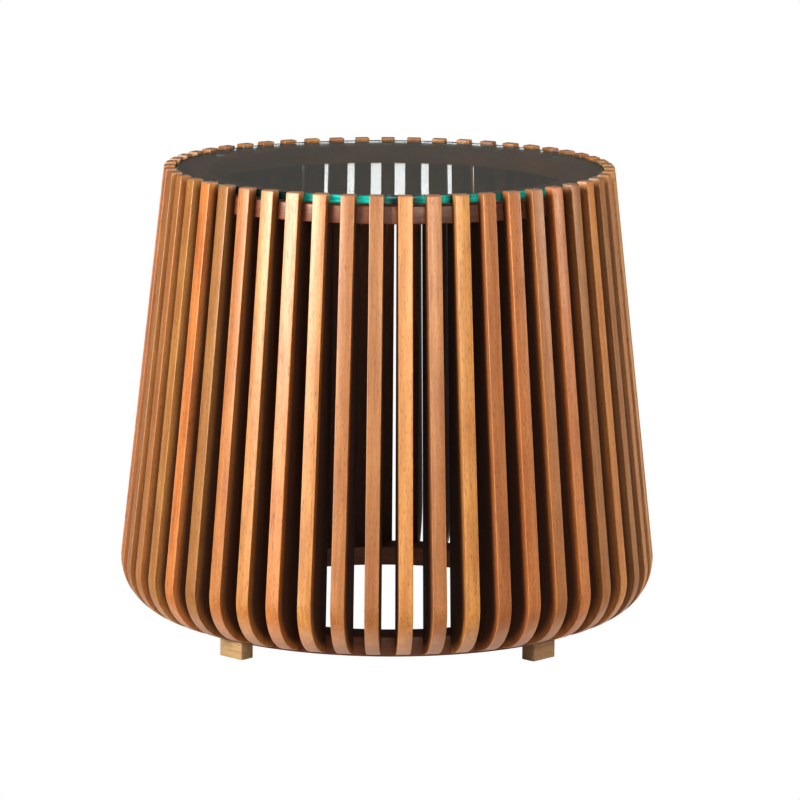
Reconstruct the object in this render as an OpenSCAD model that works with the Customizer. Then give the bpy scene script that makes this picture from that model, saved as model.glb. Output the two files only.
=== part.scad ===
// Round slatted side table: a drum of hardwood slats doweled to two wooden rings, four
// block feet, and a clear glass disc let in just below the slats' tips. Each slat is a
// board set on edge: it widens downwards, is notched for the top ring and has a round foot.
// Origin: centre of the table on the floor. +Z up, the front is -Y. Millimetres.

/* [Overall] */
// Height from the floor to the slats' tips
table_h = 500; // [400:1:620]
// Radius over the slats' outer faces at their tips
top_r = 240; // [200:1:300]
// Lean of the slats' outer faces away from vertical, going down, in degrees
slat_lean = 6.385; // [3:0.005:8]

/* [Slats] */
// Number of slats round the drum
slat_count = 51; // [36:1:51]
// Width of a slat along the rim
slat_w = 14.8; // [10:0.1:18]
// Depth of a slat's tip, beside the top ring and the glass
tip_t = 12; // [10.5:0.1:14.4]
// Lean of the slats' inner edges away from vertical, going down, in degrees
inner_lean = 3; // [2:0.05:4]
// Radius of the round corner at a slat's foot
bend_r = 55; // [45:0.1:80]
// Radius of the eased outer edge at a slat's tip
tip_r = 2; // [0.5:0.1:4]

/* [Top ring] */
// Drop from the slats' tips to the top ring's upper face
top_ring_drop = 12; // [11:0.1:20]
// Thickness of the top ring
top_ring_t = 18.5; // [14:0.1:26]
// Width of the top ring's face
top_ring_w = 36; // [28:0.1:60]

/* [Bottom ring] */
// Thickness of the bottom ring
bottom_ring_t = 20.8; // [17:0.1:28]
// Width of the bottom ring's face
bottom_ring_w = 36.3; // [28:0.1:60]
// Height of the round corner's lowest level above the bottom ring's lower face
slat_lift = 2.5; // [0:0.1:3.5]
// Distance from the round corner's centre out to the slats' inner edges at the ring's foot
slat_end_reach = 4.6; // [0:0.1:6]

/* [Feet] */
// Height of a foot, which lifts the bottom ring off the floor
foot_h = 19.3; // [15:0.1:40]
// Width of a foot along the ring
foot_w = 33; // [28:0.1:60]
// Depth of a foot across the ring
foot_d = 17; // [12:0.1:24]
// Corner radius of a foot, seen from above
foot_corner_r = 1.2; // [0.5:0.1:4]
// Distance from the bottom ring's outer face in to a foot's outer face
foot_inset = 3.8; // [0.8:0.1:6]

/* [Glass] */
// Thickness of the glass disc
glass_t = 8; // [5:0.1:9]
// Gap between the glass edge and the slats
glass_gap = 1.5; // [0.5:0.1:4]
// Arris ground on both edges of the glass
glass_arris = 0.8; // [0.3:0.1:2]
// Thickness of a clear bumper under the glass
bumper_t = 2; // [1:0.1:3]
// Diameter of a bumper
bumper_d = 10; // [6:0.1:16]
// Number of bumpers round the ring
bumper_count = 6; // [3:1:12]

/* [Joinery] */
// Diameter of every dowel
dowel_d = 6; // [4:0.1:6.2]
// Length of a dowel between slat and ring
dowel_l = 24; // [18:0.1:26]
// Depth that a dowel goes into its slat
dowel_in_slat = 7.5; // [5:0.1:8]
// Height of the lower dowels' axes above the bottom ring's lower face
dowel_rise = 10; // [9.7:0.1:11]
// Length of a foot's dowel
foot_dowel_l = 18; // [12:0.1:19]
// Depth that a foot's dowel goes into the bottom ring
foot_dowel_in_ring = 6; // [4:0.1:6.2]
// Distance between a foot's two dowels
foot_dowel_pitch = 18; // [12:0.1:20]
// Gap round a dowel and past each of its ends
dowel_play = 0.05; // [0.02:0.01:0.15]
// Gap between a slat and the ring that it is doweled to
seat_gap = 0.05; // [0.02:0.01:0.2]

/* [Hidden] */
$fn = 96;
// How far a cutting solid runs past the face that it cuts
cut_past = 1;
// Quarter points that the feet stand on, as angles from +X
foot_angles = [225, 315, 135, 45];
foot_names = ["foot_front_left", "foot_front_right", "foot_back_left", "foot_back_right"];

slat_step = 360 / slat_count;
function slat_name(k) = str("slat_", k < 9 ? "0" : "", k + 1);

// Bottom ring: it stands on the feet
bottom_ring_z0 = foot_h;
bottom_ring_z1 = bottom_ring_z0 + bottom_ring_t;

// Slat: a leaning outer face, and a round corner tangent to it at the foot
bend_h = bottom_ring_z0 + slat_lift + bend_r;
bend_top_z = bend_h + bend_r * sin(slat_lean);
function outer_r(z) = top_r + (table_h - z) * tan(slat_lean);
bend_x = outer_r(bend_top_z) - bend_r * cos(slat_lean);
slat_end_x = bend_x + slat_end_reach;
// Radius of the slats' inner edges, and of the notches cut in them beside the top ring
function inner_r(z) = slat_end_x - (z - bottom_ring_z0) * tan(inner_lean);
function notch_r(z) = outer_r(z) - tip_t / cos(slat_lean);

// The rings' rims are cones: the bottom one follows the inner edges, the top one the notches
bottom_ring_r1 = inner_r(bottom_ring_z0) - seat_gap;
bottom_ring_r0 = bottom_ring_r1 - bottom_ring_w;
top_ring_z1 = table_h - top_ring_drop;
top_ring_z0 = top_ring_z1 - top_ring_t;
top_ring_r1 = notch_r(top_ring_z1) - seat_gap;
top_ring_r0 = top_ring_r1 - top_ring_w;
shoulder_z = top_ring_z0 - seat_gap;

// Glass: it lies on bumpers along the middle of the top ring
glass_z0 = top_ring_z1 + bumper_t;
glass_z1 = glass_z0 + glass_t;
glass_r = notch_r(glass_z1) - glass_gap;
bumper_ring_r = top_ring_r1 - top_ring_w / 2;

// Dowels lie level, pointing at the table's axis
top_dowel_z = (top_ring_z0 + top_ring_z1) / 2;
top_dowel_r1 = notch_r(top_dowel_z) + dowel_in_slat;
bottom_dowel_z = bottom_ring_z0 + dowel_rise;
bottom_dowel_r1 = inner_r(bottom_dowel_z) + dowel_in_slat;
foot_r = bottom_ring_r1 - foot_inset - foot_d / 2;
foot_dowel_z0 = foot_h + foot_dowel_in_ring - foot_dowel_l;

// Centre of the eased edge's arc, which touches the tip and the leaning outer face
tip_ease_x = outer_r(table_h - tip_r) - tip_r / cos(slat_lean);

// Side view of a slat: x is the distance from the table's axis, y the height
module slat_outline() {
    above = table_h + cut_past;
    difference() {
        intersection() {
            union() {
                translate([bend_x, bend_h]) circle(bend_r);
                polygon([
                    [bend_x - bend_r, bend_h],
                    [outer_r(bend_top_z), bend_top_z],
                    [outer_r(table_h), table_h],
                    [inner_r(table_h) - cut_past, table_h]
                ]);
            }
            // The board's own width: outwards from the inner edge
            polygon([
                [inner_r(bottom_ring_z0), bottom_ring_z0],
                [outer_r(bottom_ring_z0), bottom_ring_z0],
                [outer_r(bottom_ring_z0), table_h],
                [inner_r(table_h), table_h]
            ]);
        }
        // Notch that the top ring lies in, open above for the glass
        polygon([
            [inner_r(above) - cut_past, shoulder_z],
            [notch_r(shoulder_z), shoulder_z],
            [notch_r(above), above],
            [inner_r(above) - cut_past, above]
        ]);
        // Waste beyond the eased edge at the tip
        difference() {
            translate([tip_ease_x, table_h - tip_r]) square(tip_r * 2);
            translate([tip_ease_x, table_h - tip_r]) circle(tip_r);
        }
    }
}

// A level rod or hole along +X whose outer end is at radius r1
module level_rod(r1, z, len, d) {
    translate([r1 - len, 0, z]) rotate([0, 90, 0]) cylinder(d = d, h = len);
}

// The same item at each slat's angle, starting at the back and going round by +X
module at_slat(k) {
    rotate(90 - k * slat_step) children();
}

module top_dowel(play = 0) {
    level_rod(top_dowel_r1 + play, top_dowel_z, dowel_l + 2 * play, dowel_d + 2 * play);
}

module bottom_dowel(play = 0) {
    level_rod(bottom_dowel_r1 + play, bottom_dowel_z, dowel_l + 2 * play, dowel_d + 2 * play);
}

module foot_dowels(angle, play = 0) {
    rotate(angle) for (side = [-1, 1])
        translate([foot_r, side * foot_dowel_pitch / 2, foot_dowel_z0 - play])
            cylinder(d = dowel_d + 2 * play, h = foot_dowel_l + 2 * play);
}

module slat(k) {
    color("peru") at_slat(k) difference() {
        rotate([90, 0, 0]) linear_extrude(slat_w, center = true) slat_outline();
        top_dowel(dowel_play);
        bottom_dowel(dowel_play);
    }
}

module top_ring() {
    color("saddlebrown") difference() {
        rotate_extrude() polygon([
            [top_ring_r0, top_ring_z0],
            [notch_r(top_ring_z0) - seat_gap, top_ring_z0],
            [top_ring_r1, top_ring_z1],
            [top_ring_r0, top_ring_z1]
        ]);
        for (k = [0:slat_count - 1]) at_slat(k) top_dowel(dowel_play);
    }
}

module bottom_ring() {
    color("saddlebrown") difference() {
        rotate_extrude() polygon([
            [bottom_ring_r0, bottom_ring_z0],
            [bottom_ring_r1, bottom_ring_z0],
            [inner_r(bottom_ring_z1) - seat_gap, bottom_ring_z1],
            [bottom_ring_r0, bottom_ring_z1]
        ]);
        for (k = [0:slat_count - 1]) at_slat(k) bottom_dowel(dowel_play);
        for (angle = foot_angles) foot_dowels(angle, dowel_play);
    }
}

module foot(angle) {
    color("burlywood") difference() {
        rotate(angle) translate([foot_r, 0, 0]) linear_extrude(foot_h) union() {
            square([foot_d - 2 * foot_corner_r, foot_w], center = true);
            square([foot_d, foot_w - 2 * foot_corner_r], center = true);
            for (sx = [-1, 1], sy = [-1, 1])
                translate([sx * (foot_d / 2 - foot_corner_r), sy * (foot_w / 2 - foot_corner_r)])
                    circle(foot_corner_r);
        }
        foot_dowels(angle, dowel_play);
    }
}

module glass_top() {
    color("darkslategray", 0.5) rotate_extrude() polygon([
        [0, glass_z0],
        [glass_r - glass_arris, glass_z0],
        [glass_r, glass_z0 + glass_arris],
        [glass_r, glass_z1 - glass_arris],
        [glass_r - glass_arris, glass_z1],
        [0, glass_z1]
    ]);
}

module glass_bumpers() {
    color("gainsboro", 0.6) for (k = [0:bumper_count - 1])
        rotate(90 - k * 360 / bumper_count) translate([bumper_ring_r, 0, top_ring_z1])
            cylinder(d = bumper_d, h = bumper_t);
}

module dowels() {
    color("wheat") {
        for (k = [0:slat_count - 1]) at_slat(k) {
            top_dowel();
            bottom_dowel();
        }
        for (angle = foot_angles) foot_dowels(angle);
    }
}

for (k = [0:slat_count - 1]) slat(k);
top_ring();
bottom_ring();
glass_top();
glass_bumpers();
dowels();
for (i = [0:len(foot_names) - 1]) foot(foot_angles[i]);
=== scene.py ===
"""Round slatted side table with an inset glass top: its looks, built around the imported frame."""

import math

import bpy
import numpy as np
from mathutils import Matrix, Vector


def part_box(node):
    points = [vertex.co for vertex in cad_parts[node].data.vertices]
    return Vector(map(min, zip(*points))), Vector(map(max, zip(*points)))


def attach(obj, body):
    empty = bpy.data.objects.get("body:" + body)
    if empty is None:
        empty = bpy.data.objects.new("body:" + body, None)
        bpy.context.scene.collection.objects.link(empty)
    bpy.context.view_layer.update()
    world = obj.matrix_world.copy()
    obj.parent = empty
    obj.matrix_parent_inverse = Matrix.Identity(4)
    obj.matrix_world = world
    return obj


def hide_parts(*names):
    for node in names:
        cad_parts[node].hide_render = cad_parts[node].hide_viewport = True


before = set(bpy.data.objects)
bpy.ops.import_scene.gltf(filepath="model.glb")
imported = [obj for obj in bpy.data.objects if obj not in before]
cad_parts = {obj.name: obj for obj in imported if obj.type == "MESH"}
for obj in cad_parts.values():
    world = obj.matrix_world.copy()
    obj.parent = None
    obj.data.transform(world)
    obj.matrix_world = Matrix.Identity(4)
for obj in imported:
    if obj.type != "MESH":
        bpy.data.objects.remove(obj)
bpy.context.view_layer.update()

MM = 0.001
TAU = 2 * math.pi

# ---------------------------------------------------------------- sizes, from the frame

SLATS = sorted(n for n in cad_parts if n.startswith("slat_"))
FEET = sorted(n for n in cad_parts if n.startswith("foot_"))
SLAT_STEP = TAU / len(SLATS)
SLAT_LO, SLAT_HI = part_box(SLATS[0])  # the slat at the back, whose width lies along X
SLAT_W = SLAT_HI.x - SLAT_LO.x
TIP_Z = SLAT_HI.z
TIP_T = 12 * MM  # depth of a slat at its tip
LEAN = math.radians(6.385)  # of the slats' outer faces
INNER_LEAN = math.radians(3)  # of the slats' inner edges
RING_LO, RING_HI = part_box("bottom_ring")
TOP_RING_LO, TOP_RING_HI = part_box("top_ring")
BEND_R = 55 * MM  # radius of the arc at a slat's foot, whose centre is at BEND_X, BEND_Z
BEND_RISE = 2.5 * MM  # from the bottom ring's lower face up to the lowest point of the arc's circle
BEND_X = SLAT_HI.y - BEND_R
BEND_Z = RING_LO.z + BEND_RISE + BEND_R
EASE = 0.9 * MM  # radius sanded onto the slats' long edges and the feet's ends
TIP_EASE = 2 * MM  # radius at the outer corner of a slat's tip
CORNER = 1.2 * MM  # radius at a slat's other corners
RING_GAP = 0.05 * MM  # between a slat and the ring that it is doweled to
BOTTOM_RING_W = 36.3 * MM  # along its lower face
TOP_RING_W = 36 * MM  # along its upper face
RING_SEGMENTS = 8
RING_EASE = 1.2 * MM  # radius on a ring's long edges
JOINT_EASE = 0.25 * MM  # how far a segment's ends are eased, along it and all round
JOINT_GAP = 0.02 * MM  # half of the gap between two segments
GLASS_ARRIS = 0.8 * MM  # ground off both edges of the disc
BUMPERS = 6
BUMPER_R = 5 * MM
FOOT_W = 33 * MM  # along the ring
FOOT_D = 17 * MM  # towards the axis
FOOT_CORNER = 1.2 * MM


# ---------------------------------------------------------------- mesh helpers


def rounded_outline(corners, radii, steps=5):
    """Closed counter-clockwise outline with rounded corners, and its outward normals, both (n, 2).

    At each corner the normal turns evenly from one edge's to the next one's. The points lie on
    an arc that touches both edges: its centre is on the corner's bisector, radius / sin(half
    angle) away, inside the outline where the corner points out and outside where it points in.
    """
    pts = np.asarray(corners, float)
    radii = np.broadcast_to(radii, len(pts))
    steps = np.broadcast_to(steps, len(pts))
    points, normals = [], []
    for i, (p, r, n) in enumerate(zip(pts, radii, steps)):
        a, b = pts[i - 1] - p, pts[(i + 1) % len(pts)] - p
        a, b = a / np.linalg.norm(a), b / np.linalg.norm(b)
        side = 1 if a[1] * b[0] - a[0] * b[1] > 0 else -1
        half = math.acos(np.clip(a @ b, -1, 1)) / 2
        centre = p + (a + b) / np.linalg.norm(a + b) * r / math.sin(half)
        first = np.array([-a[1], a[0]])
        t = side * np.linspace(0, math.pi - 2 * half, n + 1)[:, None]
        turned = np.cos(t) * first + np.sin(t) * np.array([-first[1], first[0]])
        normals.append(turned)
        points.append(centre + side * r * turned)
    return np.concatenate(points), np.concatenate(normals)


def meet(p, d, q, e):
    """Where the line through p along d crosses the line through q along e."""
    p, d, q, e = (np.asarray(v, float) for v in (p, d, q, e))
    w = q - p
    return p + d * (w[0] * e[1] - w[1] * e[0]) / (d[0] * e[1] - d[1] * e[0])


def board(points, normals, width, ease, steps=4):
    """A flat board with eased edges, as stacked rings (rows, n, 3) of (x, across, y), and its edge values.

    The outline is carried across the width. Near each face it draws in along its normals as a
    quarter circle does: by ease times 1 - sin t, where the ring stands ease times 1 - cos t in.
    """
    t = np.linspace(0, math.pi / 2, steps)
    inset = np.concatenate([ease * (1 - np.sin(t)), ease * (1 - np.sin(t[::-1]))])
    level = np.concatenate([ease * (1 - np.cos(t)), width - ease * (1 - np.cos(t[::-1]))]) - width / 2
    flat = points[None] - normals[None] * inset[:, None, None]
    across = np.broadcast_to(level[:, None], flat.shape[:2])
    near = np.sin(2 * np.concatenate([t, t[::-1]]))
    return np.stack([flat[..., 0], across, flat[..., 1]], -1), np.repeat(near, len(points))


def strip_faces(rows, cols, first=0):
    """Quads between closed rings of points: row i joins row i + 1, and the last column joins the first."""
    i, j = np.meshgrid(np.arange(rows - 1), np.arange(cols), indexing="ij")
    k = (j + 1) % cols
    quads = np.stack([i * cols + j, i * cols + k, (i + 1) * cols + k, (i + 1) * cols + j], -1)
    return (quads.reshape(-1, 4) + first).tolist()


def tube(rings, first=0):
    """Closed skin over a stack of rings, an array (rows, cols, 3): the sides and a flat cap at each end."""
    rows, cols = rings.shape[:2]
    low = [list(range(first + cols - 1, first - 1, -1))]
    high = [list(range(first + (rows - 1) * cols, first + rows * cols))]
    return strip_faces(rows, cols, first) + low + high


def piece(name, verts, faces, material, body, replaced, values=None, sharp=35):
    """A mesh object from arrays, with named values per vertex, turned to face outwards."""
    mesh = bpy.data.meshes.new(name)
    mesh.from_pydata(np.asarray(verts, float).tolist(), [], faces)
    for key, data in (values or {}).items():
        kind = "FLOAT_VECTOR" if np.ndim(data) == 2 else "FLOAT"
        field = "vector" if kind == "FLOAT_VECTOR" else "value"
        mesh.attributes.new(key, kind, "POINT").data.foreach_set(field, np.ravel(data))
    mesh.polygons.foreach_set("use_smooth", np.ones(len(mesh.polygons), bool))
    mesh.set_sharp_from_angle(angle=math.radians(sharp))
    mesh.materials.append(material)
    mesh.validate()
    if volume(mesh) < 0:
        mesh.flip_normals()
    obj = bpy.data.objects.new(name, mesh)
    bpy.context.scene.collection.objects.link(obj)
    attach(obj, body)
    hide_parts(*replaced)
    return obj


def volume(mesh):
    """Signed volume: the sum over triangles of a . (b x c) / 6, positive when faces point outwards."""
    mesh.calc_loop_triangles()
    tris = np.empty(len(mesh.loop_triangles) * 3, np.int32)
    mesh.loop_triangles.foreach_get("vertices", tris)
    co = np.empty(len(mesh.vertices) * 3)
    mesh.vertices.foreach_get("co", co)
    a, b, c = co.reshape(-1, 3)[tris.reshape(-1, 3)].transpose(1, 0, 2)
    return float((a * np.cross(b, c)).sum() / 6)


def ring_round(profile, angles):
    """A profile of (radius, height) turned about the table's axis to each angle: (angles, points, 3)."""
    r, z = profile[:, 0], profile[:, 1]
    c, s = np.cos(angles)[:, None], np.sin(angles)[:, None]
    return np.stack([r * c, r * s, z + 0 * c], -1)


# ---------------------------------------------------------------- node helpers


def new_material(name):
    mat = bpy.data.materials.new(name)
    mat.use_nodes = True
    tree = mat.node_tree
    return mat, tree, tree.nodes["Principled BSDF"]


def add(tree, kind, inputs=None, **props):
    """A node with its plain properties and its inputs set, each to a value or from a socket."""
    node = tree.nodes.new(kind)
    for key, value in props.items():
        setattr(node, key, value)
    for key, value in (inputs or {}).items():
        if isinstance(value, bpy.types.NodeSocket):
            tree.links.new(value, node.inputs[key])
        else:
            node.inputs[key].default_value = value
    return node


def maths(tree, operation, a, b=0.0, clamp=False):
    return add(tree, "ShaderNodeMath", {0: a, 1: b}, operation=operation, use_clamp=clamp).outputs[0]


def products(tree, a, b, c, d):
    """a times b, plus c times d."""
    return maths(tree, "ADD", maths(tree, "MULTIPLY", a, b), maths(tree, "MULTIPLY", c, d))


def remap(tree, value, low, high, to_low=0.0, to_high=1.0, smooth=True):
    kind = "SMOOTHSTEP" if smooth else "LINEAR"
    keys = {"Value": value, "From Min": low, "From Max": high, "To Min": to_low, "To Max": to_high}
    return add(tree, "ShaderNodeMapRange", keys, interpolation_type=kind).outputs[0]


def mix(tree, factor, a, b, blend="MIX"):
    """Colour a mixed towards colour b by the factor."""
    keys = {0: factor, 6: a, 7: b}
    return add(tree, "ShaderNodeMix", keys, data_type="RGBA", blend_type=blend).outputs[2]


def stretched(tree, vector, scale):
    return add(tree, "ShaderNodeVectorMath", {0: vector, 1: scale}, operation="MULTIPLY").outputs[0]


def noise(tree, vector, scale, detail=3.0, rough=0.55, distortion=0.0):
    keys = {"Vector": vector, "Scale": scale, "Detail": detail, "Roughness": rough, "Distortion": distortion}
    return add(tree, "ShaderNodeTexNoise", keys).outputs[0]


def grain_group():
    """Shader group: wood at a point of the grain space, whose third axis runs along the fibres, in metres.

    Bands are soft stripes of the yearly growth, Fibre the fine lines in them, Pores the short
    open vessels, and Cloud the slow changes along a board. Each runs from 0 to 1.
    """
    tree = bpy.data.node_groups.new("wood_grain", "ShaderNodeTree")
    face = tree.interface
    face.new_socket(name="Grain", in_out="INPUT", socket_type="NodeSocketVector")
    for name in ("Bands", "Fibre", "Pores", "Cloud"):
        face.new_socket(name=name, in_out="OUTPUT", socket_type="NodeSocketFloat")
    grain = tree.nodes.new("NodeGroupInput").outputs["Grain"]
    out = tree.nodes.new("NodeGroupOutput")
    bands = noise(tree, stretched(tree, grain, (1, 1, 0.05)), 210, 3, 0.6, 0.6)
    fibre = noise(tree, stretched(tree, grain, (1, 1, 0.018)), 1100, 3, 0.6)
    vessel = noise(tree, stretched(tree, grain, (1, 1, 0.09)), 1500, 1, 0.5)
    cloud = noise(tree, stretched(tree, grain, (1, 1, 0.35)), 38, 2, 0.5)
    for name, value in (
        ("Bands", remap(tree, bands, 0.32, 0.68)),
        ("Fibre", remap(tree, fibre, 0.3, 0.7)),
        ("Pores", remap(tree, vessel, 0.60, 0.70)),
        ("Cloud", remap(tree, cloud, 0.3, 0.7)),
    ):
        tree.links.new(value, out.inputs[name])
    return tree


GRAIN = grain_group()


def attribute(tree, name):
    return add(tree, "ShaderNodeAttribute", attribute_name=name, attribute_type="GEOMETRY")


def own_place(tree):
    return add(tree, "ShaderNodeTexCoord").outputs["Object"]


def painted_shade_between(tree):
    """Painted shade on the slats' sides between them: how strong, from 0 at their outer faces to 1 well
    inside.

    Depth is measured inwards from the leaning outer face, and round the foot from its arc: the
    arc's radius less the distance to its centre. Near the tip it fades out.
    """
    starts, full = 2 * MM, 12 * MM
    place = add(tree, "ShaderNodeSeparateXYZ", {0: own_place(tree)})
    x, y, z = (place.outputs[k] for k in range(3))
    r = maths(tree, "SQRT", products(tree, x, x, y, y))
    c, s = math.cos(LEAN), math.sin(LEAN)
    face = (BEND_X * c + BEND_Z * s) + BEND_R
    depth = maths(tree, "SUBTRACT", face, products(tree, r, c, z, s))
    dr, dz = maths(tree, "SUBTRACT", r, BEND_X), maths(tree, "SUBTRACT", z, BEND_Z)
    reach = maths(tree, "SQRT", products(tree, dr, dr, dz, dz))
    foot_depth = maths(tree, "SUBTRACT", BEND_R, reach)
    up = maths(tree, "SUBTRACT", maths(tree, "MULTIPLY", dz, c), maths(tree, "MULTIPLY", dr, s))
    in_foot = maths(tree, "LESS_THAN", up, 0.0)
    deeper = maths(tree, "SUBTRACT", foot_depth, depth)
    depth = maths(tree, "ADD", depth, maths(tree, "MULTIPLY", deeper, in_foot))
    below_tip = remap(tree, z, TIP_Z - 14 * MM, TIP_Z - 1 * MM, 1, 0)
    # Painted shade: this mask darkens the slats where shade falls between them.
    return maths(tree, "MULTIPLY", remap(tree, depth, starts, full), below_tip)


def paint_shade_and_light(tree, colour, painted_shade, painted_shade_strength):
    """The colour darkened by painted shade between the slats, and paler where a face looks up or down:
    painted light.
    """
    colour = mix(tree, maths(tree, "MULTIPLY", painted_shade, painted_shade_strength), colour, PAINTED_SHADE_COLOUR)
    # Painted light: faces that look up or down are made paler.
    normal = add(tree, "ShaderNodeTexCoord").outputs["Normal"]
    facing_up = add(tree, "ShaderNodeSeparateXYZ", {0: normal}).outputs["Z"]
    facing_down = maths(tree, "MULTIPLY", facing_up, -1.0)
    colour = mix(tree, remap(tree, facing_up, 0.6, 0.9, 0.0, 0.6), colour, PAINTED_LIGHT_COLOUR)
    return mix(tree, remap(tree, facing_down, 0.15, 0.7, 0.0, 0.4), colour, PAINTED_LIGHT_COLOUR)


def wood(name, pale, deep, pore, edge=None, rough=0.46, coat=0.0, tone_reach=1.0, painted_shade_strength=0.0):
    """Wood with growth bands between two colours, dark pores, and a painted highlight along the edges.

    The piece's own values say where the fibres run (grain), how dark and how red this board
    is (tone and hue), and how near a point is to an eased edge (edge). Without an edge colour
    the grain lies on the piece's own coordinates, and none of these values is read. With
    painted_shade_strength, shade is painted on the slats' sides between them, where the lacquer
    is also taken off and the wood made rougher, and light is painted on faces that look up or down.
    """
    mat, tree, bsdf = new_material(name)
    vector = attribute(tree, "grain").outputs["Vector"] if edge else own_place(tree)
    grain = add(tree, "ShaderNodeGroup", node_tree=GRAIN)
    tree.links.new(vector, grain.inputs["Grain"])
    bands, fibre, pores, cloud = (grain.outputs[k] for k in ("Bands", "Fibre", "Pores", "Cloud"))
    lines = products(tree, bands, 0.55, fibre, 0.25)
    lines = maths(tree, "ADD", lines, maths(tree, "MULTIPLY", cloud, 0.35), clamp=True)
    colour = mix(tree, lines, pale, deep)
    if edge:
        tone = attribute(tree, "tone").outputs["Fac"]
        hue = attribute(tree, "hue").outputs["Fac"]
        near_edge = attribute(tree, "edge").outputs["Fac"]
        shade = remap(tree, tone, 0, 1, 1 - 0.26 * tone_reach, 1 + 0.2 * tone_reach, smooth=False)
        shade = add(tree, "ShaderNodeCombineXYZ", {0: shade, 1: shade, 2: shade}).outputs[0]
        colour = mix(tree, 1.0, colour, shade, "MULTIPLY")
        redder = mix(tree, 1.0, colour, (1.0, 0.9, 0.84, 1), "MULTIPLY")
        yellower = mix(tree, 1.0, colour, (1.0, 1.14, 1.0, 1), "MULTIPLY")
        colour = mix(tree, hue, redder, yellower)
        # Painted highlight: paler along the eased edges, where specular light would run.
        painted_edge_highlight = maths(tree, "MULTIPLY", near_edge, remap(tree, cloud, 0.1, 0.9, 0.25, 0.7))
        colour = mix(tree, painted_edge_highlight, colour, edge)
    colour = mix(tree, maths(tree, "MULTIPLY", pores, 0.5), colour, pore)
    if painted_shade_strength:
        # Shade painted between the slats, and light painted on faces that look up or down.
        painted_shade = painted_shade_between(tree)
        colour = paint_shade_and_light(tree, colour, painted_shade, painted_shade_strength)
        lacquer = maths(tree, "MULTIPLY", maths(tree, "SUBTRACT", 1.0, painted_shade), coat)
        tree.links.new(lacquer, bsdf.inputs["Coat Weight"])
    tree.links.new(colour, bsdf.inputs["Base Color"])
    gloss = remap(tree, maths(tree, "ADD", fibre, pores), 0, 2, rough - 0.06, rough + 0.2, smooth=False)
    if painted_shade_strength:
        gloss = maths(tree, "ADD", gloss, maths(tree, "MULTIPLY", painted_shade, 0.3))
    else:
        bsdf.inputs["Coat Weight"].default_value = coat
    tree.links.new(gloss, bsdf.inputs["Roughness"])
    bsdf.inputs["Coat Roughness"].default_value = 0.34
    bsdf.inputs["IOR"].default_value = 1.48
    height = maths(tree, "SUBTRACT", maths(tree, "MULTIPLY", fibre, 0.35), pores)
    bump = add(tree, "ShaderNodeBump", {"Height": height, "Strength": 0.35, "Distance": 0.12 * MM})
    tree.links.new(bump.outputs[0], bsdf.inputs["Normal"])
    return mat


def glass_material():
    """Clear float glass, with the faint green of its thickness by absorption."""
    mat, tree, bsdf = new_material("float_glass")
    bsdf.inputs["Base Color"].default_value = (1, 1, 1, 1)
    bsdf.inputs["Transmission Weight"].default_value = 1.0
    bsdf.inputs["Metallic"].default_value = 0.0
    bsdf.inputs["IOR"].default_value = 1.5
    smear = noise(tree, own_place(tree), 14, 3, 0.6)
    tree.links.new(remap(tree, smear, 0.45, 0.75, 0.0, 0.03), bsdf.inputs["Roughness"])
    depth = add(tree, "ShaderNodeVolumeAbsorption", {"Color": (0.5, 0.88, 0.8, 1), "Density": 6.0})
    tree.links.new(depth.outputs[0], tree.nodes["Material Output"].inputs["Volume"])
    return mat


def glass_rim_material():
    """The glass's edge, painted teal in bright and dark runs, with a painted glow for the light from inside
    the disc that comes out there.
    """
    mat, tree, bsdf = new_material("glass_rim")
    coords = own_place(tree)
    runs = remap(tree, noise(tree, stretched(tree, coords, (1, 1, 0.2)), 26, 2, 0.6), 0.42, 0.58, 1, 0)
    line = noise(tree, stretched(tree, coords, (0.05, 0.05, 1)), 900, 1, 0.5)
    lit = maths(tree, "MULTIPLY", runs, remap(tree, line, 0.3, 0.7, 0.5, 1.0), clamp=True)
    outside = maths(tree, "SUBTRACT", 1.0, add(tree, "ShaderNodeNewGeometry").outputs["Backfacing"])
    lit = maths(tree, "MULTIPLY", lit, outside)
    colour = mix(tree, lit, (0.0, 0.035, 0.03, 1), (0.012, 0.62, 0.52, 1))
    tree.links.new(colour, bsdf.inputs["Base Color"])
    # Painted light: the rim glows though it is no lamp.
    painted_glow = mix(tree, lit, (0.0, 0.004, 0.003, 1), (0.002, 0.42, 0.34, 1))
    tree.links.new(painted_glow, bsdf.inputs["Emission Color"])
    bsdf.inputs["Emission Strength"].default_value = 0.5
    bsdf.inputs["Roughness"].default_value = 0.12
    return mat


def bumper_material():
    mat, tree, bsdf = new_material("clear_bumper")
    cloudy = noise(tree, own_place(tree), 300, 2, 0.5)
    tint = mix(tree, cloudy, (0.72, 0.75, 0.72, 1), (0.92, 0.93, 0.9, 1))
    tree.links.new(tint, bsdf.inputs["Base Color"])
    tree.links.new(remap(tree, cloudy, 0.2, 0.8, 0.25, 0.45), bsdf.inputs["Roughness"])
    bsdf.inputs["Transmission Weight"].default_value = 0.5
    bsdf.inputs["IOR"].default_value = 1.45
    return mat


# Painted shade: the colour laid on the slats' sides between them.
PAINTED_SHADE_COLOUR = (0.085, 0.024, 0.007, 1)
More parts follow.
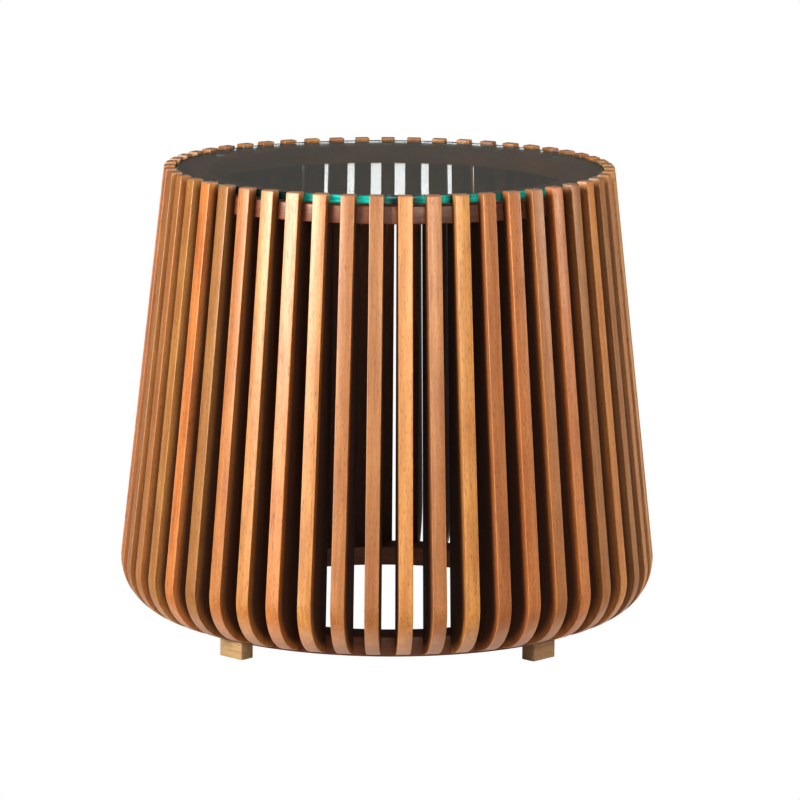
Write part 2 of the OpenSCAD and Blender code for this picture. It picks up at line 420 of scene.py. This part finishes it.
# Painted light: the colour laid on faces that look up or down.
PAINTED_LIGHT_COLOUR = (0.78, 0.52, 0.4, 1)
SLAT_WOOD = wood(
    "slat_wood",
    pale=(0.6, 0.27, 0.08, 1),
    deep=(0.42, 0.152, 0.036, 1),
    pore=(0.10, 0.035, 0.014, 1),
    edge=(0.6, 0.29, 0.12, 1),
    coat=0.3,
    painted_shade_strength=0.92,
)
RING_WOOD = wood(
    "ring_wood",
    pale=(0.32, 0.115, 0.045, 1),
    deep=(0.19, 0.06, 0.025, 1),
    pore=(0.07, 0.022, 0.01, 1),
    edge=(0.36, 0.14, 0.07, 1),
    coat=0.05,
    tone_reach=0.8,
)
FOOT_WOOD = wood(
    "foot_wood",
    pale=(0.56, 0.34, 0.2, 1),
    deep=(0.42, 0.24, 0.13, 1),
    pore=(0.16, 0.08, 0.04, 1),
    edge=(0.66, 0.45, 0.3, 1),
    rough=0.62,
)
DOWEL_WOOD = wood(
    "dowel_wood",
    pale=(0.78, 0.6, 0.4, 1),
    deep=(0.66, 0.47, 0.29, 1),
    pore=(0.4, 0.26, 0.14, 1),
    rough=0.65,
)
GLASS = glass_material()
GLASS_RIM = glass_rim_material()
BUMPER = bumper_material()


# ---------------------------------------------------------------- slats


def slat_outline():
    """Side view of a slat as (radius, height): a board that widens downwards.

    The outer face leans by LEAN and turns through an arc of BEND_R into the foot, which runs
    straight on past arc_end_r. The inner edge leans by INNER_LEAN, and above the shoulder a
    notch leaves the tip TIP_T deep.
    """
    out_way = (math.tan(LEAN), -1)
    in_way = (-math.tan(INNER_LEAN), 1)
    bend_top = (BEND_X + BEND_R * math.cos(LEAN), BEND_Z + BEND_R * math.sin(LEAN))
    notch_at = (bend_top[0] - TIP_T / math.cos(LEAN), bend_top[1])
    arc_end_r = RING_HI.x + 2 * MM
    foot_turn = math.acos((arc_end_r - BEND_X) / BEND_R)
    foot_at = (BEND_X + BEND_R * math.cos(foot_turn), BEND_Z - BEND_R * math.sin(foot_turn))
    foot_way = (math.sin(foot_turn), math.cos(foot_turn))
    inner_at = (RING_HI.x + RING_GAP, RING_LO.z)
    tip_at, shoulder_at, level = (0, TIP_Z), (0, TOP_RING_LO.z - RING_GAP), (1, 0)
    corners = [
        meet(bend_top, out_way, foot_at, foot_way),
        meet(bend_top, out_way, tip_at, level),
        meet(notch_at, out_way, tip_at, level),
        meet(notch_at, out_way, shoulder_at, level),
        meet(inner_at, in_way, shoulder_at, level),
        meet(inner_at, in_way, foot_at, foot_way),
    ]
    radii = [BEND_R, TIP_EASE, CORNER, 0.3 * MM, CORNER, CORNER]
    return rounded_outline(corners, radii, [28, 5, 5, 2, 5, 5])


def make_slats():
    """One piece per slat, turned to its place. Its grain runs straight along the outer face."""
    rng = np.random.default_rng(51)
    rings, near = board(*slat_outline(), SLAT_W, EASE)
    flat = rings.reshape(-1, 3)
    faces = tube(rings)
    along = flat[:, 2] * math.cos(LEAN) - flat[:, 0] * math.sin(LEAN)
    across = flat[:, 0] * math.cos(LEAN) + flat[:, 2] * math.sin(LEAN)
    for k, name in enumerate(SLATS):
        angle = math.pi / 2 - k * SLAT_STEP
        c, s = math.cos(angle), math.sin(angle)
        x, y = flat[:, 0] * c + flat[:, 1] * s, flat[:, 0] * s - flat[:, 1] * c
        verts = np.stack([x, y, flat[:, 2]], -1)
        start = rng.uniform(-3, 3, 3)
        values = {
            "grain": np.stack([flat[:, 1], across, along], -1) + start,
            "tone": np.full(len(flat), rng.uniform()),
            "hue": np.full(len(flat), rng.uniform()),
            "edge": near,
        }
        piece(f"{name}_wood", verts, faces, SLAT_WOOD, "frame", [name], values)


# ---------------------------------------------------------------- rings


def ring_segments(name, corners, first_angle, seed):
    """A ring glued up from equal segments, each a closed solid whose fibres run along its chord.

    A segment's section is the rounded outline of the corners, carried round the axis. Its two
    end sections shrink towards their middle by the ease, so that each joint shows as a fine groove.
    """
    rng = np.random.default_rng(seed)
    loop = rounded_outline(corners, RING_EASE, 4)[0]
    middle = loop.mean(0)
    size = np.abs(loop - middle).max(0)
    step = TAU / RING_SEGMENTS
    mean_r = middle[0]
    gap, inset = JOINT_GAP / mean_r, JOINT_EASE / mean_r
    angles = np.concatenate([[gap], np.linspace(inset, step - inset, 15), [step - gap]])
    from_end = np.minimum(angles, step - angles) * mean_r
    ends = (from_end < JOINT_EASE / 2)[:, None, None]
    profile = np.where(ends, middle + (loop - middle) * (1 - JOINT_EASE / size), loop)
    pr, pz = profile[..., 0], profile[..., 1]
    verts, faces, grain, tone, hue, edge = [], [], [], [], [], []
    for i in range(RING_SEGMENTS):
        a = (angles + first_angle + i * step)[:, None]
        ring = np.stack([pr * np.cos(a), pr * np.sin(a), pz], -1)
        faces += tube(ring, sum(len(v) for v in verts))
        flat = ring.reshape(-1, 3)
        mid = first_angle + (i + 0.5) * step
        tangent = -flat[:, 0] * math.sin(mid) + flat[:, 1] * math.cos(mid)
        radial = flat[:, 0] * math.cos(mid) + flat[:, 1] * math.sin(mid)
        verts.append(flat)
        grain.append(np.stack([radial, flat[:, 2], tangent], -1) + rng.uniform(-3, 3, 3))
        tone.append(np.full(len(flat), rng.uniform()))
        hue.append(np.full(len(flat), rng.uniform()))
        edge.append(np.where(np.repeat(from_end < JOINT_EASE, len(loop)), 0.4, 0.0))
    values = {
        "grain": np.concatenate(grain),
        "tone": np.concatenate(tone),
        "hue": np.concatenate(hue),
        "edge": np.concatenate(edge),
    }
    verts = np.concatenate(verts)
    piece(f"{name}_wood", verts, faces, RING_WOOD, "frame", [name], values)


def make_rings():
    """The bottom ring's rim follows the slats' inner edges, and the top ring's rim their notches."""
    lo, hi = RING_LO, RING_HI
    upper_r = hi.x - (hi.z - lo.z) * math.tan(INNER_LEAN)
    inner_r = hi.x - BOTTOM_RING_W
    section = [(inner_r, lo.z), (hi.x, lo.z), (upper_r, hi.z), (inner_r, hi.z)]
    ring_segments("bottom_ring", section, TAU / RING_SEGMENTS / 2, seed=7)
    lo, hi = TOP_RING_LO, TOP_RING_HI
    upper_r = hi.x - (hi.z - lo.z) * math.tan(LEAN)
    inner_r = upper_r - TOP_RING_W
    section = [(inner_r, lo.z), (hi.x, lo.z), (upper_r, hi.z), (inner_r, hi.z)]
    ring_segments("top_ring", section, 0.0, seed=8)


# ---------------------------------------------------------------- glass, bumpers and feet


def make_glass():
    """The disc: its outline in (radius, height), with a ground arris on both edges, turned about the axis."""
    lo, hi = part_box("glass_top")
    r, arris = hi.y, GLASS_ARRIS
    profile = np.array([(r - arris, lo.z), (r, lo.z + arris), (r, hi.z - arris), (r - arris, hi.z)])
    soft = [p + (q - p) * share for p, q in zip(profile[:-1], profile[1:]) for share in (0.12, 0.88)]
    profile = np.array([profile[0], *soft, profile[-1]])
    angles = np.linspace(0, TAU, 240, endpoint=False)
    rings = ring_round(profile, angles).transpose(1, 0, 2)
    verts = rings.reshape(-1, 3)
    disc = piece("glass_disc", verts, tube(rings), GLASS, "glass", ["glass_top"], sharp=20)
    disc.data.materials.append(GLASS_RIM)
    rim_faces = (len(profile) - 1) * len(angles)
    finish = np.zeros(len(disc.data.polygons), np.int32)
    finish[:rim_faces] = 1
    disc.data.polygons.foreach_set("material_index", finish)


def make_bumpers():
    """Soft discs with rounded rims. Heights follow a quarter circle at the rim, flat under the glass."""
    lo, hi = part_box("glass_bumpers")
    height = hi.z - lo.z
    ring_r = hi.y - BUMPER_R
    rim, chamfer = 0.8 * MM, 0.3 * MM
    t = np.linspace(0, math.pi / 2, 5)
    profile = [(BUMPER_R - chamfer, 0), (BUMPER_R, chamfer)]
    profile += [(BUMPER_R - rim + rim * math.cos(a), height - rim + rim * math.sin(a)) for a in t]
    angles = np.linspace(0, TAU, 32, endpoint=False)
    rings = ring_round(np.array(profile), angles).transpose(1, 0, 2)
    flat = rings.reshape(-1, 3)
    verts, faces = [], []
    for k in range(BUMPERS):
        a = math.pi / 2 - k * TAU / BUMPERS
        faces += tube(rings, k * len(flat))
        verts.append(flat + np.array([ring_r * math.cos(a), ring_r * math.sin(a), lo.z]))
    piece("bumpers", np.concatenate(verts), faces, BUMPER, "frame", ["glass_bumpers"])


def make_feet():
    """A block per foot: a rounded rectangle carried up, drawn in by an eased edge at both ends."""
    rng = np.random.default_rng(4)
    t = np.linspace(0, math.pi / 2, 4)
    rounding = EASE * (1 - np.cos(t))
    inset = np.concatenate([EASE * (1 - np.sin(t)), [0], EASE * (1 - np.sin(t[::-1]))])
    for name in FEET:
        lo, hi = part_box(name)
        centre, height = (lo + hi) / 2, hi.z - lo.z
        angle = math.atan2(centre.y, centre.x)
        rings = []
        for h, e in zip([*rounding, height / 2, *(height - rounding[::-1])], inset):
            x, y = FOOT_D / 2 - e, FOOT_W / 2 - e
            loop = rounded_outline([(-x, -y), (x, -y), (x, y), (-x, y)], FOOT_CORNER, 3)[0]
            rings.append(np.column_stack([loop, np.full(len(loop), lo.z + h)]))
        rings = np.array(rings)
        flat = rings.reshape(-1, 3)
        c, s = math.cos(angle), math.sin(angle)
        x = flat[:, 0] * c - flat[:, 1] * s + centre.x
        y = flat[:, 0] * s + flat[:, 1] * c + centre.y
        verts = np.stack([x, y, flat[:, 2]], -1)
        out = np.maximum(np.abs(flat[:, 0]) / (FOOT_D / 2), np.abs(flat[:, 1]) / (FOOT_W / 2))
        values = {
            "grain": np.stack([flat[:, 0], flat[:, 2], flat[:, 1]], -1) + rng.uniform(-3, 3, 3),
            "tone": np.full(len(flat), rng.uniform(0.3, 0.7)),
            "hue": np.full(len(flat), rng.uniform()),
            "edge": np.where(out < 0.98, 0.8, 0.0),
        }
        piece(f"{name}_wood", verts, tube(rings), FOOT_WOOD, "frame", [name], values)


def finish_dowels():
    """The dowels stay as the frame has them, in their own wood."""
    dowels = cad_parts["dowels"]
    dowels.data.materials.clear()
    dowels.data.materials.append(DOWEL_WOOD)


make_slats()
make_rings()
make_glass()
make_bumpers()
make_feet()
finish_dowels()


# ---------------------------------------------------------------- studio


def stage_floor():
    """A wide floor: pure white where it is seen, brighter through the glass, and plain matt to light."""
    in_gloss, extra_through_glass, half = 0.6, 1.3, 30
    mat, tree, bsdf = new_material("studio_floor")
    tree.nodes.remove(bsdf)
    path = add(tree, "ShaderNodeLightPath")
    through_glass = path.outputs["Is Transmission Ray"]
    seen = maths(tree, "MAXIMUM", path.outputs["Is Camera Ray"], through_glass)
    mirrored = maths(tree, "MULTIPLY", path.outputs["Is Glossy Ray"], in_gloss)
    seen = maths(tree, "MAXIMUM", seen, mirrored)
    matt = add(tree, "ShaderNodeBsdfDiffuse", {"Color": (0.8, 0.8, 0.8, 1)})
    brightness = maths(tree, "ADD", 1.0, maths(tree, "MULTIPLY", through_glass, extra_through_glass))
    white = add(tree, "ShaderNodeEmission", {"Color": (1, 1, 1, 1), "Strength": brightness})
    blend = add(tree, "ShaderNodeMixShader", {0: seen, 1: matt.outputs[0], 2: white.outputs[0]})
    tree.links.new(blend.outputs[0], tree.nodes["Material Output"].inputs["Surface"])
    mesh = bpy.data.meshes.new("floor")
    corners = [(-half, -half, 0), (half, -half, 0), (half, half, 0), (-half, half, 0)]
    mesh.from_pydata(corners, [], [(0, 1, 2, 3)])
    mesh.materials.append(mat)
    floor = bpy.data.objects.new("floor", mesh)
    bpy.context.scene.collection.objects.link(floor)


def softbox(name, azimuth, elevation, size, power, colour=(1, 1, 1), gloss_only=False):
    """An area light aimed at the table's middle. Azimuth 0 is the front, 90 the right side, in degrees.

    One that is gloss_only shows in gloss as a sheen, and lights no matt surface.
    """
    distance = 3.0
    data = bpy.data.lights.new(name, "AREA")
    data.shape = "RECTANGLE"
    data.size, data.size_y = size
    data.energy = power
    data.color = colour
    light = bpy.data.objects.new(name, data)
    bpy.context.scene.collection.objects.link(light)
    a, e = math.radians(azimuth), math.radians(elevation)
    back = Vector((math.sin(a) * math.cos(e), -math.cos(a) * math.cos(e), math.sin(e)))
    light.location = Vector((0, 0, TIP_Z / 2)) + back * distance
    light.rotation_mode = "QUATERNION"
    light.rotation_quaternion = back.to_track_quat("Z", "Y")
    light.visible_diffuse = not gloss_only


def studio_world():
    """White where it is seen directly, a dim warm grey room in gloss, and a darker one as light."""
    as_light, more_in_gloss = 0.06, 0.1
    world = bpy.data.worlds.new("studio")
    bpy.context.scene.world = world
    world.use_nodes = True
    tree = world.node_tree
    tree.nodes.clear()
    path = add(tree, "ShaderNodeLightPath")
    in_gloss = maths(tree, "MULTIPLY", path.outputs["Is Glossy Ray"], more_in_gloss)
    dim = maths(tree, "ADD", as_light, in_gloss)
    room = add(tree, "ShaderNodeBackground", {"Color": (1.0, 0.98, 0.91, 1), "Strength": dim})
    white = add(tree, "ShaderNodeBackground", {"Color": (1, 1, 1, 1), "Strength": 1.0})
    parts = {0: path.outputs["Is Camera Ray"], 1: room.outputs[0], 2: white.outputs[0]}
    blend = add(tree, "ShaderNodeMixShader", parts)
    out = tree.nodes.new("ShaderNodeOutputWorld")
    tree.links.new(blend.outputs[0], out.inputs["Surface"])


def main_camera():
    """A long lens in front of the table and above it, looking down at it by about ten degrees."""
    away, above_tips = 4.8, 0.6338
    swing, pan = math.radians(0.437), math.radians(0.154)
    pitch, roll = math.radians(10.4846), math.radians(0.4077)
    data = bpy.data.cameras.new("camera")
    data.sensor_width = 36
    data.lens = 204.3
    camera = bpy.data.objects.new("camera", data)
    bpy.context.scene.collection.objects.link(camera)
    camera.location = (-away * math.sin(swing), -away * math.cos(swing), TIP_Z + above_tips)
    turn = Matrix.Rotation(-swing - pan, 3, "Z") @ Matrix.Rotation(math.pi / 2 - pitch, 3, "X")
    turn = turn @ Matrix.Rotation(roll, 3, "Z")
    camera.rotation_mode = "QUATERNION"
    camera.rotation_quaternion = turn.to_quaternion()
    data.clip_start, data.clip_end = 0.1, 100
    bpy.context.scene.camera = camera


stage_floor()
studio_world()
softbox("key_left", -42, 22, (1.1, 1.4), 99)
softbox("key_right", 84, 20, (0.8, 1.4), 60)
softbox("front", 6, 8, (0.8, 0.6), 11)
softbox("sheen_left", -54, 22, (1.3, 1.2), 145, (1.0, 0.96, 0.92), gloss_only=True)
softbox("sheen_right", 18, 22, (0.9, 1.1), 80, (1.0, 0.93, 0.8), gloss_only=True)
main_camera()
bpy.context.scene.view_settings.view_transform = "Standard"
bpy.context.scene.view_settings.gamma = 0.77
